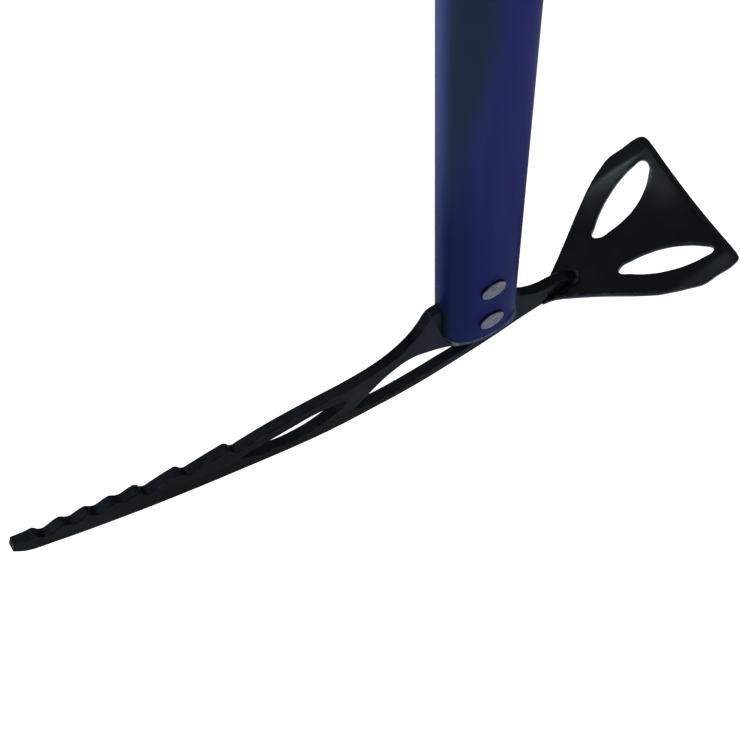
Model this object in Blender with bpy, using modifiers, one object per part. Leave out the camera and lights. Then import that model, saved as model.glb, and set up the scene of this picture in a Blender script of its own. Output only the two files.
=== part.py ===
"""Mountaineer's ice axe, head down and spike up, in metres.

+Z runs along the shaft towards the spike, +X towards the adze and -X towards
the pick. The origin is on the shaft's axis at the height of the upper head
rivet. The axe is symmetric about the plane Y = 0.
"""

import math

import bmesh
import bpy
from mathutils import Matrix, Vector

MM = 0.001

# Fits
GAP = 0.3 * MM                  # clearance between pieces that touch
CUT_MARGIN = 3.0 * MM           # how far a cutter runs past what it cuts
WELD_DISTANCE = 0.005 * MM      # points of one solid this close become one
SLICE_SNAP = 0.08 * MM          # a slice passes through a point this close to it

# Shaft: an oval aluminium tube
SHAFT_WIDTH = 30.4 * MM         # along X
SHAFT_DEPTH = 20.4 * MM         # along Y
SHAFT_POWER = 2.3               # 2 is an ellipse, more is squarer
SHAFT_WALL = 1.6 * MM
SHAFT_HEAD_END = -35.5 * MM
SHAFT_SPIKE_END = 470.0 * MM
SHAFT_RIM_CHAMFER = 0.5 * MM
SHAFT_SIDES = 48

# Rivets
RIVET_SPACING = 22.9 * MM
RIVET_SHANK_RADIUS = 2.5 * MM
RIVET_HEAD_RADIUS = 4.7 * MM
RIVET_HEAD_HEIGHT = 1.1 * MM
RIVET_HEAD_EDGE = 0.35 * MM     # chamfer round the head's flat face
RIVET_SEAT_DEPTH = 0.35 * MM    # flat pressed into the tube under a head
ROUND_STEPS = 24

# Head plate: pick, karabiner eye, tang and tail in one 4 mm steel plate
PLATE_THICKNESS = 4.0 * MM
PLATE_CHAMFER = 0.3 * MM
TANG_TOP = 14.0 * MM
PICK_SHOULDER_Z = -15.6 * MM
ADZE_SHOULDER_Z = -31.0 * MM
TAIL_STEP_X = 28.7 * MM         # the tail's edge steps up here to sit on the adze
TAIL_END = 41.6 * MM
TAIL_TOP_Z = -44.1 * MM

# The tooth crests lie on a parabola through these three points (x, z)
CREST_LINE = ((-172.4 * MM, -15.6 * MM), (-136.2 * MM, -26.0 * MM), (-102.5 * MM, -32.5 * MM))
# Each tooth: crest position along X, and drop from its crest to the gullet behind it
TEETH = (
    (-101.0 * MM, 4.7 * MM),
    (-119.6 * MM, 4.6 * MM),
    (-134.8 * MM, 4.9 * MM),
    (-143.7 * MM, 3.0 * MM),
    (-152.6 * MM, 3.4 * MM),
    (-161.5 * MM, 3.5 * MM),
    (-171.2 * MM, 4.7 * MM),
)
CREST_ROUND = 0.7 * MM          # rounding of a crest's corner
CREST_LAND = 2.4 * MM           # nearly level land in front of a crest
GULLET_OFFSET = 2.5 * MM        # from a crest to the bottom of its gullet
GULLET_FLOOR = 1.3 * MM         # length of the gullet's bottom

# Adze: a 3 mm plate welded under the tail
ADZE_THICKNESS = 3.0 * MM
ADZE_RISE = 0.263               # slope of its top face along +X
ADZE_TOP_AT_AXIS = -61.7 * MM   # its top face, carried on to the shaft's axis
ADZE_ROOT_X = 29.5 * MM
ADZE_ROOT_HALF_WIDTH = 2.2 * MM
ADZE_EDGE_X = 93.9 * MM         # middle of the cutting edge
ADZE_CORNER_LEAD = 0.1 * MM     # how far its corners stand ahead of the middle
ADZE_HALF_WIDTH = 31.1 * MM
ADZE_GROUND_WIDTH = 2.3 * MM    # bevel ground along the cutting edge
ADZE_GROUND_DROP = 1.4 * MM
ADZE_CREASE_INNER = (68.0 * MM, 26.4 * MM)   # fold of the side flange, x and y
ADZE_CREASE_OUTER = (93.4 * MM, 25.2 * MM)
ADZE_FLANGE_SLOPE = 0.08        # how steeply the flange falls away outside its fold
ADZE_DISH_DEPTH = 4.2 * MM      # the middle sinks this far between the folds
ADZE_DISH_START = 44.0 * MM     # along X, from here
ADZE_DISH_FULL = 86.0 * MM      # to its full depth here
ADZE_DISH_POWER = 1.5           # 1 is a vee across, 2 a parabola
ADZE_DISH_STEP = 4.5 * MM       # spacing of the edges that carry the dish

# Weld bead round the tail
WELD_RADIUS = 1.0 * MM
WELD_START_X = 31.5 * MM
WELD_RIPPLE = 0.14
WELD_RIPPLE_PITCH = 2.2 * MM

# Plugs that hold each tang in the tube
PLUG_RECESS = 0.8 * MM
PLUG_LENGTH = 54.0 * MM

# Spike
SPIKE_LENGTH = 65.0 * MM        # from the tube's end to the point
SPIKE_TANG_LENGTH = 50.0 * MM
SPIKE_RIVET_INSET = 13.0 * MM   # from the tube's end to the nearer rivet
SPIKE_EYE_RADIUS = 6.0 * MM
SPIKE_EYE_Z = 18.0 * MM         # above the tube's end
SPIKE_POINT_RADIUS = 1.2 * MM
SPIKE_SHOULDER_EASE = 1.0 * MM   # the shoulders lift this much at their outer corners

# Surface colours: red, green, blue, roughness, metallic
FINISHES = {
    "black_coated_steel": (0.010, 0.012, 0.015, 0.45, 0.2),
    "blue_anodised_aluminium": (0.012, 0.020, 0.085, 0.38, 0.6),
    "rivet_steel": (0.35, 0.35, 0.36, 0.42, 0.9),
    "weld_steel": (0.045, 0.035, 0.028, 0.60, 0.6),
    "plug_nylon": (0.06, 0.06, 0.065, 0.55, 0.0),
}


# ---------------------------------------------------------------- helpers

def clear_scene():
    for obj in list(bpy.data.objects):
        bpy.data.objects.remove(obj, do_unlink=True)


def new_collection(name):
    collection = bpy.data.collections.new(name)
    bpy.context.scene.collection.children.link(collection)
    return collection


def finish_material(finish):
    material = bpy.data.materials.get(finish)
    if material is None:
        red, green, blue, roughness, metallic = FINISHES[finish]
        material = bpy.data.materials.new(finish)
        material.use_nodes = True
        shader = material.node_tree.nodes["Principled BSDF"]
        shader.inputs["Base Color"].default_value = (red, green, blue, 1.0)
        shader.inputs["Roughness"].default_value = roughness
        shader.inputs["Metallic"].default_value = metallic
        material.diffuse_color = (red, green, blue, 1.0)
    return material


def outline_object(name, loops, half_thickness, chamfer=0.0):
    """A flat outline with holes, made solid. A loop is a list of (x, y, smooth)."""
    curve = bpy.data.curves.new(name, "CURVE")
    curve.dimensions = "2D"
    curve.fill_mode = "BOTH"
    curve.extrude = half_thickness - chamfer
    curve.bevel_depth = chamfer
    curve.bevel_resolution = 0
    curve.offset = -chamfer
    for loop, resolution in loops:
        spline = curve.splines.new("BEZIER")
        spline.bezier_points.add(len(loop) - 1)
        spline.use_cyclic_u = True
        spline.resolution_u = resolution
        for point, (x, y, smooth) in zip(spline.bezier_points, loop):
            point.co = (x, y, 0.0)
            handle = "AUTO" if smooth else "VECTOR"
            point.handle_left_type = handle
            point.handle_right_type = handle
    obj = bpy.data.objects.new(name, curve)
    AXE.objects.link(obj)
    return obj


def to_mesh(obj):
    """Replace a curve object by a mesh object with its caps welded on."""
    bpy.context.view_layer.update()
    graph = bpy.context.evaluated_depsgraph_get()
    mesh = bpy.data.meshes.new_from_object(obj.evaluated_get(graph))
    matrix = obj.matrix_world.copy()
    name = obj.name
    bpy.data.objects.remove(obj, do_unlink=True)
    shape = bmesh.new()
    shape.from_mesh(mesh)
    bmesh.ops.remove_doubles(shape, verts=shape.verts, dist=WELD_DISTANCE)
    bmesh.ops.recalc_face_normals(shape, faces=shape.faces)
    shape.to_mesh(mesh)
    shape.free()
    solid = bpy.data.objects.new(name, mesh)
    solid.matrix_world = matrix
    AXE.objects.link(solid)
    return solid


def finish_part(obj, name, finish, sharp_angle=30.0):
    obj.name = name
    obj.data.name = name
    obj.data.materials.clear()
    obj.data.materials.append(finish_material(finish))
    obj.data.shade_smooth()
    obj.data.set_sharp_from_angle(angle=math.radians(sharp_angle))
    return obj


def make_cutter(name, mesh_maker, matrix):
    mesh = bpy.data.meshes.new(name)
    shape = bmesh.new()
    mesh_maker(shape)
    shape.to_mesh(mesh)
    shape.free()
    obj = bpy.data.objects.new(name, mesh)
    obj.matrix_world = matrix
    obj.hide_render = True
    obj.display_type = "WIRE"
    CUTTERS.objects.link(obj)
    return obj


def box_cutter(name, low, high):
    size = Vector(high) - Vector(low)
    centre = (Vector(high) + Vector(low)) / 2
    stretch = Matrix.Diagonal((size.x, size.y, size.z, 1.0))

    def build(shape):
        bmesh.ops.create_cube(shape, size=1.0, matrix=stretch)

    return make_cutter(name, build, Matrix.Translation(centre))


def cross_cutter(name, radius, z, y_low, y_high):
    """A round cutter along Y, through the shaft's middle."""
    turn = Matrix.Rotation(math.radians(90.0), 4, "X")

    def build(shape):
        bmesh.ops.create_cone(shape, cap_ends=True, segments=ROUND_STEPS, radius1=radius,
                              radius2=radius, depth=y_high - y_low, matrix=turn)

    return make_cutter(name, build, Matrix.Translation((0.0, (y_low + y_high) / 2, z)))


def cut(obj, cutter):
    modifier = obj.modifiers.new(cutter.name, "BOOLEAN")
    modifier.operation = "DIFFERENCE"
    modifier.solver = "EXACT"
    modifier.object = cutter


def turned_along_y(name, profile, z):
    """A turned piece whose axis lies along Y; the profile is (radius, height)."""
    mesh = bpy.data.meshes.new(name)
    points = [(radius, 0.0, height) for radius, height in profile]
    edges = [(i, i + 1) for i in range(len(points) - 1)]
    mesh.from_pydata(points, edges, [])
    obj = bpy.data.objects.new(name, mesh)
    AXE.objects.link(obj)
    obj.location = (0.0, 0.0, z)
    obj.rotation_euler = (math.radians(90.0), 0.0, 0.0)
    screw = obj.modifiers.new("turn", "SCREW")
    screw.axis = "Z"
    screw.steps = ROUND_STEPS
    screw.render_steps = ROUND_STEPS
    screw.use_merge_vertices = True
    screw.merge_threshold = WELD_DISTANCE
    screw.use_smooth_shade = True
    return obj


# ---------------------------------------------------------------- shaft shape

def oval_x_at(y, inset):
    """Half width of the shaft's oval, drawn in by inset, at a distance y from its middle."""
    half_x = SHAFT_WIDTH / 2 - inset
    half_y = SHAFT_DEPTH / 2 - inset
    return half_x * (1.0 - (abs(y) / half_y) ** SHAFT_POWER) ** (1.0 / SHAFT_POWER)


def oval_point(angle, inset):
    half_x = SHAFT_WIDTH / 2 - inset
    half_y = SHAFT_DEPTH / 2 - inset
    cosine, sine = math.cos(angle), math.sin(angle)
    x = half_x * math.copysign(abs(cosine) ** (2.0 / SHAFT_POWER), cosine)
    y = half_y * math.copysign(abs(sine) ** (2.0 / SHAFT_POWER), sine)
    return x, y


def oval_loop(inset):
    return [oval_point(2.0 * math.pi * (i + 0.5) / SHAFT_SIDES, inset) + (False,)
            for i in range(SHAFT_SIDES)]


TANG_HALF_WIDTH = oval_x_at(PLATE_THICKNESS / 2, SHAFT_WALL) - GAP
RIVET_SEAT_Y = SHAFT_DEPTH / 2 - RIVET_SEAT_DEPTH
HEAD_RIVETS = {"head_rivet_upper": 0.0, "head_rivet_lower": -RIVET_SPACING}
SPIKE_RIVETS = {
    "spike_rivet_lower": SHAFT_SPIKE_END - SPIKE_RIVET_INSET - RIVET_SPACING,
    "spike_rivet_upper": SHAFT_SPIKE_END - SPIKE_RIVET_INSET,
}


def bore_for_rivets(obj, rivets):
    for name, z in rivets.items():
        reach = SHAFT_DEPTH / 2 + CUT_MARGIN
        cut(obj, cross_cutter(obj.name + "_" + name + "_bore", RIVET_SHANK_RADIUS + GAP, z, -reach, reach))


def make_shaft():
    length = SHAFT_SPIKE_END - SHAFT_HEAD_END
    loops = [(oval_loop(0.0), 1), (oval_loop(SHAFT_WALL), 1)]
    obj = to_mesh(outline_object("shaft_tube", loops, length / 2))
    obj.location = (0.0, 0.0, (SHAFT_SPIKE_END + SHAFT_HEAD_END) / 2)
    bevel = obj.modifiers.new("rim", "BEVEL")
    bevel.width = SHAFT_RIM_CHAMFER
    bevel.segments = 2
    bevel.limit_method = "ANGLE"
    bevel.angle_limit = math.radians(60.0)
    half_slot = PLATE_THICKNESS / 2 + GAP
    side = SHAFT_WIDTH / 2 + CUT_MARGIN
    below = SHAFT_HEAD_END - CUT_MARGIN
    cut(obj, box_cutter("pick_slot", (-side, -half_slot, below), (0.0, half_slot, PICK_SHOULDER_Z + GAP)))
    cut(obj, box_cutter("adze_slot", (0.0, -half_slot, below), (side, half_slot, ADZE_SHOULDER_Z + GAP)))
    for name, z in {**HEAD_RIVETS, **SPIKE_RIVETS}.items():
        radius = RIVET_HEAD_RADIUS + GAP
        outside = SHAFT_DEPTH / 2 + CUT_MARGIN
        cut(obj, cross_cutter(name + "_front_seat", radius, z, -outside, -RIVET_SEAT_Y))
        cut(obj, cross_cutter(name + "_back_seat", radius, z, RIVET_SEAT_Y, outside))
    bore_for_rivets(obj, {**HEAD_RIVETS, **SPIKE_RIVETS})
    finish_part(obj, "shaft_tube", "blue_anodised_aluminium")


def make_rivets():
    seat = RIVET_SEAT_Y + GAP
    top = seat + RIVET_HEAD_HEIGHT
    half = [
        (0.0, top),
        (RIVET_HEAD_RADIUS - RIVET_HEAD_EDGE, top),
        (RIVET_HEAD_RADIUS, top - RIVET_HEAD_EDGE),
        (RIVET_HEAD_RADIUS, seat),
        (RIVET_SHANK_RADIUS, seat),
    ]
    profile = half + [(radius, -height) for radius, height in reversed(half)]
    for name, z in {**HEAD_RIVETS, **SPIKE_RIVETS}.items():
        finish_part(turned_along_y(name, profile, z), name, "rivet_steel")


def make_plugs(prefix, z_low, z_high, rivets):
    """Two half plugs that fill the tube on either side of a tang."""
    inset = SHAFT_WALL + GAP
    flat_y = PLATE_THICKNESS / 2 + GAP
    side_points = [oval_point(math.pi * i / (SHAFT_SIDES // 2), inset) for i in range(SHAFT_SIDES // 2 + 1)]
    edge_x = oval_x_at(flat_y, inset)
    arc = [(x, y, False) for x, y in side_points if y > flat_y]
    loop = [(edge_x, flat_y, False)] + arc + [(-edge_x, flat_y, False)]
    for side, turn in (("front", math.pi), ("back", 0.0)):
        name = prefix + "_plug_" + side
        obj = to_mesh(outline_object(name, [(loop, 1)], (z_high - z_low) / 2))
        obj.location = (0.0, 0.0, (z_high + z_low) / 2)
        obj.rotation_euler = (0.0, 0.0, turn)
        bore_for_rivets(obj, rivets)
        finish_part(obj, name, "plug_nylon")


# ---------------------------------------------------------------- head plate

def adze_top(x):
    return ADZE_TOP_AT_AXIS + ADZE_RISE * x


def crest_z(x):
    (x1, z1), (x2, z2), (x3, z3) = CREST_LINE
    first = (z2 - z1) / (x2 - x1)
    second = ((z3 - z2) / (x3 - x2) - first) / (x3 - x1)
    return z1 + first * (x - x1) + second * (x - x1) * (x - x2)


def tooth_points():
    """Crests and gullets from the shaft's end of the row to the pick's point."""
    points = []
    for x, drop in TEETH:
        z = crest_z(x)
        points.append((x + GULLET_OFFSET + GULLET_FLOOR, z - 0.95 * drop, True))
        points.append((x + GULLET_OFFSET, z - drop, True))
        points.append((x + 0.5 * GULLET_OFFSET, z - 0.75 * drop, True))
        points.append((x, z - CREST_ROUND, True))
        points.append((x - CREST_ROUND, z, True))
        points.append((x - CREST_LAND, z + 0.1 * MM, True))
    return points


def spine_points():
    """The outer edge of the plate, from the pick's point to the tail."""
    return [
        (-179.3 * MM, -14.2 * MM, False),
        (-180.6 * MM, -18.0 * MM, False),
        (-176.6 * MM, -23.0 * MM, True),
        (-167.5 * MM, -27.8 * MM, True),
        (-145.0 * MM, -37.6 * MM, True),
        (-121.7 * MM, -46.2 * MM, True),
        (-98.4 * MM, -53.4 * MM, True),
        (-78.0 * MM, -59.2 * MM, True),
        (-63.0 * MM, -62.4 * MM, True),
        (-45.0 * MM, -64.0 * MM, True),
        (-27.0 * MM, -64.5 * MM, True),
        (-9.0 * MM, -62.7 * MM, True),
        (8.0 * MM, -59.9 * MM, True),
        (20.0 * MM, -57.0 * MM, True),
        (TAIL_STEP_X, adze_top(TAIL_STEP_X) - 0.5 * ADZE_THICKNESS, False),
        (TAIL_STEP_X, adze_top(TAIL_STEP_X) + GAP, False),
        (TAIL_END, adze_top(TAIL_END) + GAP, False),
    ]


def tail_points():
    """Up round the tail's end and back to the adze side of the tang."""
    return [
        (TAIL_END - 0.6 * MM, adze_top(TAIL_END) + 2.6 * MM, True),
        (TAIL_END - 3.4 * MM, TAIL_TOP_Z - 1.6 * MM, True),
        (TAIL_END - 8.0 * MM, TAIL_TOP_Z, True),
        (27.5 * MM, -43.4 * MM, True),
        (21.6 * MM, -40.4 * MM, True),
        (17.2 * MM, -36.2 * MM, True),
        (SHAFT_WIDTH / 2, ADZE_SHOULDER_Z - 2.2 * MM, True),
        (TANG_HALF_WIDTH, ADZE_SHOULDER_Z, False),
    ]


def tang_points():
    corner = 1.5 * MM
    return [
        (TANG_HALF_WIDTH, TANG_TOP - corner, False),
        (TANG_HALF_WIDTH - corner, TANG_TOP, False),
        (-TANG_HALF_WIDTH + corner, TANG_TOP, False),
        (-TANG_HALF_WIDTH, TANG_TOP - corner, False),
        (-TANG_HALF_WIDTH, PICK_SHOULDER_Z, False),
        (-SHAFT_WIDTH / 2 - 1.6 * MM, PICK_SHOULDER_Z, False),
    ]


def throat_points():
    """The underside of the pick from the shaft to the row of teeth."""
    return [
        (-19.0 * MM, -16.0 * MM, True),
        (-20.7 * MM, -17.8 * MM, True),
        (-23.0 * MM, -22.2 * MM, True),
        (-27.0 * MM, -27.7 * MM, True),
        (-33.0 * MM, -32.6 * MM, True),
        (-40.0 * MM, -35.6 * MM, True),
        (-50.0 * MM, -36.9 * MM, True),
        (-70.0 * MM, -36.0 * MM, True),
        (-85.0 * MM, -35.9 * MM, True),
    ]


def karabiner_eye_points():
    """The leaf-shaped eye just below the shaft's end."""
    return [
        (-52.2 * MM, -56.2 * MM, True),
        (-51.0 * MM, -57.2 * MM, True),
        (-43.5 * MM, -59.2 * MM, True),
        (-30.0 * MM, -59.6 * MM, True),
        (-16.5 * MM, -58.5 * MM, True),
        (-2.6 * MM, -56.4 * MM, True),
        (-2.0 * MM, -55.2 * MM, True),
        (-6.6 * MM, -52.0 * MM, True),
        (-13.5 * MM, -46.4 * MM, True),
        (-20.5 * MM, -42.4 * MM, True),
        (-28.0 * MM, -39.8 * MM, True),
        (-35.5 * MM, -41.9 * MM, True),
        (-44.5 * MM, -48.5 * MM, True),
        (-51.4 * MM, -55.2 * MM, True),
    ]


def pick_slot_points():
    """The long leaf-shaped cut-out half way along the pick."""
    return [
        (-97.4 * MM, -44.0 * MM, True),
        (-96.4 * MM, -45.1 * MM, True),
        (-88.0 * MM, -50.4 * MM, True),
        (-75.5 * MM, -53.8 * MM, True),
        (-65.0 * MM, -52.4 * MM, True),
        (-55.0 * MM, -47.0 * MM, True),
        (-55.0 * MM, -45.7 * MM, True),
        (-65.0 * MM, -42.2 * MM, True),
        (-80.0 * MM, -42.2 * MM, True),
        (-96.4 * MM, -43.2 * MM, True),
    ]


def make_head_plate():
    outline = spine_points() + tail_points() + tang_points() + throat_points() + tooth_points()
    loops = [(outline, 4), (karabiner_eye_points(), 5), (pick_slot_points(), 5)]
    obj = to_mesh(outline_object("head_plate", loops, PLATE_THICKNESS / 2, PLATE_CHAMFER))
    obj.rotation_euler = (math.radians(90.0), 0.0, 0.0)
    bore_for_rivets(obj, HEAD_RIVETS)
    finish_part(obj, "head_plate", "black_coated_steel")


# ---------------------------------------------------------------- adze

def along_adze(x):
    """Distance from the shaft's axis measured along the sloping adze."""
    return x * math.sqrt(1.0 + ADZE_RISE ** 2)


def adze_half_outline():
    """One side of the adze from the middle of its root to the middle of its edge."""
    corner_x = ADZE_EDGE_X + ADZE_CORNER_LEAD
    side = ADZE_HALF_WIDTH
    return [
        (ADZE_ROOT_X, ADZE_ROOT_HALF_WIDTH, False),
        (33.0 * MM, 3.3 * MM, True),
        (38.6 * MM, 6.6 * MM, True),
        (47.3 * MM, 12.5 * MM, True),
        (57.4 * MM, 19.8 * MM, True),
        (67.5 * MM, 26.2 * MM, True),
        (74.0 * MM, side - 1.7 * MM, True),
        (78.5 * MM, side - 0.1 * MM, True),
        (84.0 * MM, side, True),
        (corner_x - 2.4 * MM, side, True),
        (corner_x - 0.6 * MM, side - 0.7 * MM, True),
        (corner_x, side - 2.6 * MM, True),
        (ADZE_EDGE_X + 0.3 * ADZE_CORNER_LEAD, 0.5 * side, True),
        (ADZE_EDGE_X, 0.0, True),
    ]


def adze_hole_points():
    """The leaf-shaped hole on the adze's +Y side."""
    return [
        (56.9 * MM, 8.7 * MM, True),
        (58.6 * MM, 6.9 * MM, True),
        (63.5 * MM, 6.8 * MM, True),
        (69.0 * MM, 7.5 * MM, True),
        (75.0 * MM, 9.2 * MM, True),
        (81.0 * MM, 12.3 * MM, True),
        (86.0 * MM, 16.4 * MM, True),
        (88.9 * MM, 20.6 * MM, True),
        (88.0 * MM, 22.6 * MM, True),
        (84.0 * MM, 22.6 * MM, True),
        (78.0 * MM, 21.5 * MM, True),
        (72.0 * MM, 19.4 * MM, True),
        (66.0 * MM, 16.4 * MM, True),
        (60.0 * MM, 12.0 * MM, True),
    ]


def on_slope(points):
    return [(along_adze(x), y, smooth) for x, y, smooth in points]


def mirrored(points):
    return [(x, -y, smooth) for x, y, smooth in reversed(points)]


def crease_y(x):
    """Where the flange's fold runs, as a distance from the adze's middle."""
    (inner_x, inner_y), (outer_x, outer_y) = ADZE_CREASE_INNER, ADZE_CREASE_OUTER
    return inner_y + (outer_y - inner_y) * (x - inner_x) / (outer_x - inner_x)


def make_adze():
    half = on_slope(adze_half_outline())
    outline = list(reversed(mirrored(half[:-1]))) + [half[-1]] + list(reversed(half[:-1]))
    hole = on_slope(adze_hole_points())
    loops = [(outline, 4), (hole, 4), (mirrored(hole), 4)]
    obj = to_mesh(outline_object("adze", loops, ADZE_THICKNESS / 2))
    dish_fold_and_grind(obj.data)
    middle = ADZE_TOP_AT_AXIS - ADZE_THICKNESS / 2 * math.sqrt(1.0 + ADZE_RISE ** 2)
    obj.location = (0.0, 0.0, middle)
    obj.rotation_euler = (0.0, -math.atan(ADZE_RISE), 0.0)
    finish_part(obj, "adze", "black_coated_steel", sharp_angle=20.0)


def adze_sink(x, y):
    """How far the dished middle and the flanges lie below the adze's flat plate."""
    share = (x - ADZE_DISH_START) / (ADZE_DISH_FULL - ADZE_DISH_START)
    share = max(0.0, min(1.0, share))
    ease = share * share * (3.0 - 2.0 * share)
    across = min(abs(y) / crease_y(x), 1.0)
    dish = ADZE_DISH_DEPTH * ease * (1.0 - across ** ADZE_DISH_POWER)
    return dish + ADZE_FLANGE_SLOPE * max(abs(y) - crease_y(x), 0.0)


def adze_tilt(x, y):
    """Slope of the bent adze across its width, averaged so that a fold doesn't overturn."""
    reach = ADZE_THICKNESS
    return (adze_sink(x, y - reach) - adze_sink(x, y + reach)) / (2.0 * reach)


def slice_mesh(shape, spot, normal):
    everything = shape.verts[:] + shape.edges[:] + shape.faces[:]
    bmesh.ops.bisect_plane(shape, geom=everything, dist=SLICE_SNAP, plane_co=spot, plane_no=normal)


def dish_fold_and_grind(mesh):
    """Dish the middle, fold the side flanges along their creases, grind the cutting edge."""
    shape = bmesh.new()
    shape.from_mesh(mesh)
    along = Vector((1.0, 0.0, 0.0))
    across = Vector((0.0, 1.0, 0.0))
    stretch = along_adze(1.0)
    ground_x = along_adze(ADZE_EDGE_X) - ADZE_GROUND_WIDTH
    start = Vector((along_adze(ADZE_CREASE_INNER[0]), ADZE_CREASE_INNER[1], 0.0))
    fold = Vector((along_adze(ADZE_CREASE_OUTER[0]), ADZE_CREASE_OUTER[1], 0.0)) - start
    slice_mesh(shape, along * ground_x, along)
    slice_mesh(shape, start, Vector((-fold.y, fold.x, 0.0)))
    slice_mesh(shape, Vector((start.x, -start.y, 0.0)), Vector((-fold.y, -fold.x, 0.0)))
    rows = int(ADZE_CREASE_OUTER[1] / ADZE_DISH_STEP)
    for i in range(-rows, rows + 1):
        slice_mesh(shape, across * i * ADZE_DISH_STEP, across)
    columns = int((ground_x - along_adze(ADZE_DISH_START)) / (2.0 * ADZE_DISH_STEP))
    for i in range(1, columns + 1):
        slice_mesh(shape, along * (ground_x - 2.0 * i * ADZE_DISH_STEP), along)
    for vert in shape.verts:
        past_ground = vert.co.x - ground_x
        if past_ground > 0.0 and vert.co.z > 0.0:
            vert.co.z -= ADZE_GROUND_DROP * min(past_ground / ADZE_GROUND_WIDTH, 1.0)
    for vert in shape.verts:
        x, y = vert.co.x / stretch, vert.co.y
        if vert.co.z < 0.0:
            vert.co.y += adze_tilt(x, y) * ADZE_THICKNESS
        vert.co.z -= adze_sink(x, y)
    bmesh.ops.triangulate(shape, faces=[face for face in shape.faces if len(face.verts) > 4])
    shape.to_mesh(mesh)
    shape.free()


# ---------------------------------------------------------------- weld

def make_weld():
    """One rippled bead along both sides of the tail and round its end."""
    stand_off = PLATE_THICKNESS / 2 + GAP + WELD_RADIUS * (1.0 + WELD_RIPPLE)
    straight = TAIL_END - WELD_START_X
    arc = math.pi * stand_off
    total = 2 * straight + arc
    count = round(total / (WELD_RIPPLE_PITCH / 2))
    curve = bpy.data.curves.new("tail_weld", "CURVE")
    curve.dimensions = "3D"
    curve.bevel_depth = WELD_RADIUS
    curve.bevel_resolution = 1
    curve.use_fill_caps = True
    spline = curve.splines.new("POLY")
    spline.points.add(count)
    lift = GAP + WELD_RADIUS * (1.0 + WELD_RIPPLE)
    for i, point in enumerate(spline.points):
        run = total * i / count
        if run < straight:
            x, y = WELD_START_X + run, -stand_off
        elif run > straight + arc:
            x, y = TAIL_END - (run - straight - arc), stand_off
        else:
            turn = (run - straight) / stand_off
            x, y = TAIL_END + stand_off * math.sin(turn), -stand_off * math.cos(turn)
        point.co = (x, y, adze_top(x) + lift * math.sqrt(1.0 + ADZE_RISE ** 2), 1.0)
        point.radius = 1.0 + (WELD_RIPPLE if i % 2 else -WELD_RIPPLE)
    obj = bpy.data.objects.new("tail_weld", curve)
    AXE.objects.link(obj)
    finish_part(to_mesh(obj), "tail_weld", "weld_steel", sharp_angle=50.0)


# ---------------------------------------------------------------- spike

def spike_eye_points():
    centre = SHAFT_SPIKE_END + SPIKE_EYE_Z
    count = 8
    return [(SPIKE_EYE_RADIUS * math.cos(2 * math.pi * i / count),
             centre + SPIKE_EYE_RADIUS * math.sin(2 * math.pi * i / count), True) for i in range(count)]


def make_spike():
    end = SHAFT_SPIKE_END
    point = end + SPIKE_LENGTH
    shoulder = end + GAP
    half = SHAFT_WIDTH / 2 - SHAFT_RIM_CHAMFER
    tang_low = end - SPIKE_TANG_LENGTH
    right = [
        (TANG_HALF_WIDTH, tang_low, False),
        (TANG_HALF_WIDTH, shoulder, False),
        (half, shoulder + SPIKE_SHOULDER_EASE, False),
        (half, shoulder + 8.0 * MM, True),
        (0.62 * half, end + 0.55 * SPIKE_LENGTH, True),
        (SPIKE_POINT_RADIUS, point - SPIKE_POINT_RADIUS, True),
        (0.0, point, True),
    ]
    left = [(-x, z, smooth) for x, z, smooth in reversed(right[:-1])]
    loops = [(right + left, 5), (spike_eye_points(), 4)]
    obj = to_mesh(outline_object("spike", loops, PLATE_THICKNESS / 2, PLATE_CHAMFER))
    obj.rotation_euler = (math.radians(90.0), 0.0, 0.0)
    bore_for_rivets(obj, SPIKE_RIVETS)
    finish_part(obj, "spike", "black_coated_steel")


# ---------------------------------------------------------------- assembly

clear_scene()
AXE = new_collection("ice_axe")
CUTTERS = new_collection("cutters")

make_head_plate()
make_adze()
make_weld()
make_shaft()
make_rivets()
HEAD_PLUG_LOW = SHAFT_HEAD_END + PLUG_RECESS
make_plugs("head", HEAD_PLUG_LOW, HEAD_PLUG_LOW + PLUG_LENGTH, HEAD_RIVETS)
SPIKE_PLUG_HIGH = SHAFT_SPIKE_END - PLUG_RECESS
make_plugs("spike", SPIKE_PLUG_HIGH - PLUG_LENGTH, SPIKE_PLUG_HIGH, SPIKE_RIVETS)
make_spike()
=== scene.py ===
import math
import random

import bpy
from mathutils import Matrix, Vector


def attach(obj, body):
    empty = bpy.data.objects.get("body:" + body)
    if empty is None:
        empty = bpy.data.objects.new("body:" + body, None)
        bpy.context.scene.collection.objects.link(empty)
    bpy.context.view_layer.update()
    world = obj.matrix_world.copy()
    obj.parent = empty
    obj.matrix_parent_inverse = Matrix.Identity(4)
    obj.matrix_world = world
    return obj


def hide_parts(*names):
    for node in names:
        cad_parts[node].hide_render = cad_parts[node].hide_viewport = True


# The looks of the ice axe. Metres, in the frame's own axes: +Z runs along the shaft
# towards the spike, +X towards the adze and -X towards the pick. The origin is on the
# shaft's axis at the upper head rivet, and the axe is the same on both sides of Y = 0.

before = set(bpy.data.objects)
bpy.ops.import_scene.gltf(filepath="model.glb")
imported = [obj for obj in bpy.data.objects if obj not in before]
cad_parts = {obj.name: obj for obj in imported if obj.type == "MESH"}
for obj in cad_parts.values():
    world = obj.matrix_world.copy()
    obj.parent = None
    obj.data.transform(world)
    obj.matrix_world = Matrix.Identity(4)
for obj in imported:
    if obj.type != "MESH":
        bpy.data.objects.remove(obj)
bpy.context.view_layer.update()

MM = 0.001
MERGE = 0.002 * MM               # points closer than this are one

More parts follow.
